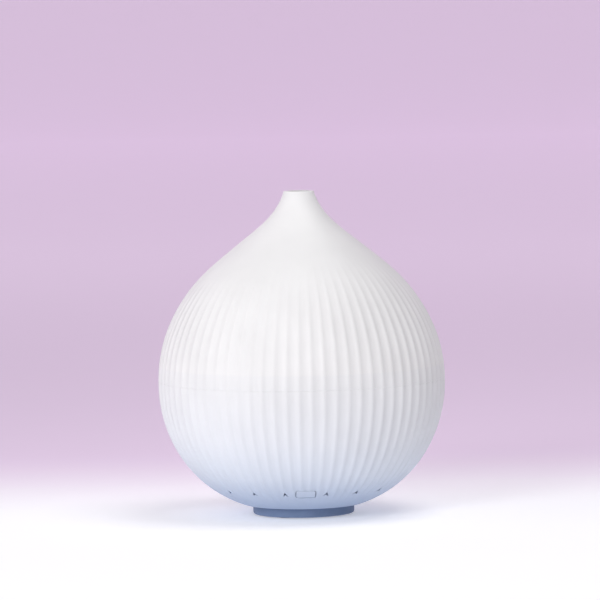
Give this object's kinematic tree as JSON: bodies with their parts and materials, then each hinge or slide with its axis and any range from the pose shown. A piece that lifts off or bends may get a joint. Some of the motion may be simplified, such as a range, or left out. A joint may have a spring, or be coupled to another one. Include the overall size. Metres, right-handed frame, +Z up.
{
  "type": "essential oil diffuser",
  "caption": "Onion-shaped ultrasonic oil diffuser: fluted lift-off cover with nozzle, inner lid, water tank, fan, transducer, boards, key and foot.",
  "frame": {"origin": "on the table, under the middle of the foot", "axes": "+Z up through the nozzle, -Y is the front with the key, +Y the back with the power inlet"},
  "size_m": [0.15, 0.15, 0.1694],
  "materials": {
    "white_shell": "satin moulded",
    "foot_plastic": "satin moulded",
    "clear_white_plastic": "glossy moulded",
    "silicone_grey": "matt",
    "silicone_white": "matt",
    "screw_steel": "zinc plated",
    "piezo_face": "satin",
    "clamp_steel": "stamped",
    "black_plastic": "moulded",
    "board_green": "solder mask",
    "board_white": "solder mask",
    "led_white": "clear lens",
    "can_aluminium": "drawn",
    "sink_aluminium": "anodised",
    "coil_ferrite": "ferrite",
    "chip_black": "moulded",
    "ceramic_chip": "fired",
    "socket_nylon": "moulded",
    "pin_brass": "plated",
    "wire_red_black": "pvc"
  },
  "bodies": {
    "base": {"lower_shell": "white_shell", "foot": "foot_plastic", "foot_pads": "silicone_grey", "case_screws": "screw_steel", "water_tank": "clear_white_plastic", "tank_gasket": "silicone_white", "duct_hood": "clear_white_plastic", "transducer_seal": "silicone_white", "transducer_disc": "piezo_face", "transducer_clamp": "clamp_steel", "clamp_screws": "screw_steel", "fan_housing": "black_plastic", "fan_screws": "screw_steel", "led_board": "board_white", "leds": "led_white", "led_screws": "screw_steel", "main_board": "board_green", "board_screws": "screw_steel", "inductor": "coil_ferrite", "capacitors": "can_aluminium", "driver_transistor": "chip_black", "heat_sink": "sink_aluminium", "control_chip": "chip_black", "board_passives": "ceramic_chip", "cable_sockets": "socket_nylon", "dc_jack": "black_plastic", "jack_pin": "pin_brass", "tact_switch": "black_plastic", "key_board": "board_green", "key_screws": "screw_steel", "fan_leads": "wire_red_black", "transducer_leads": "wire_red_black", "led_leads": "wire_red_black", "key_leads": "wire_red_black"},
    "lid": {"inner_lid": "clear_white_plastic"},
    "cover": {"upper_cover": "white_shell"},
    "fan": {"fan_rotor": "black_plastic"},
    "key": {"push_key": "white_shell", "switch_plunger": "black_plastic"}
  },
  "joints": [
    {"name": "lid_lift", "type": "slide", "parent": "base", "child": "lid", "axis": [0, 0, 1], "range_m": [0, 0.03]},
    {"name": "cover_lift", "type": "slide", "parent": "lid", "child": "cover", "axis": [0, 0, 1], "range_m": [0, 0.09]},
    {"name": "fan_spin", "type": "hinge", "parent": "base", "child": "fan", "pos_m": [-0.03721, 0, 0.03725], "axis": [0, 0, 1], "continuous": true},
    {"name": "key_press", "type": "slide", "parent": "base", "child": "key", "axis": [0, 0.6006, 0.7995], "range_m": [0, 0.0005], "stiffness_N_per_m": 600}
  ]
}
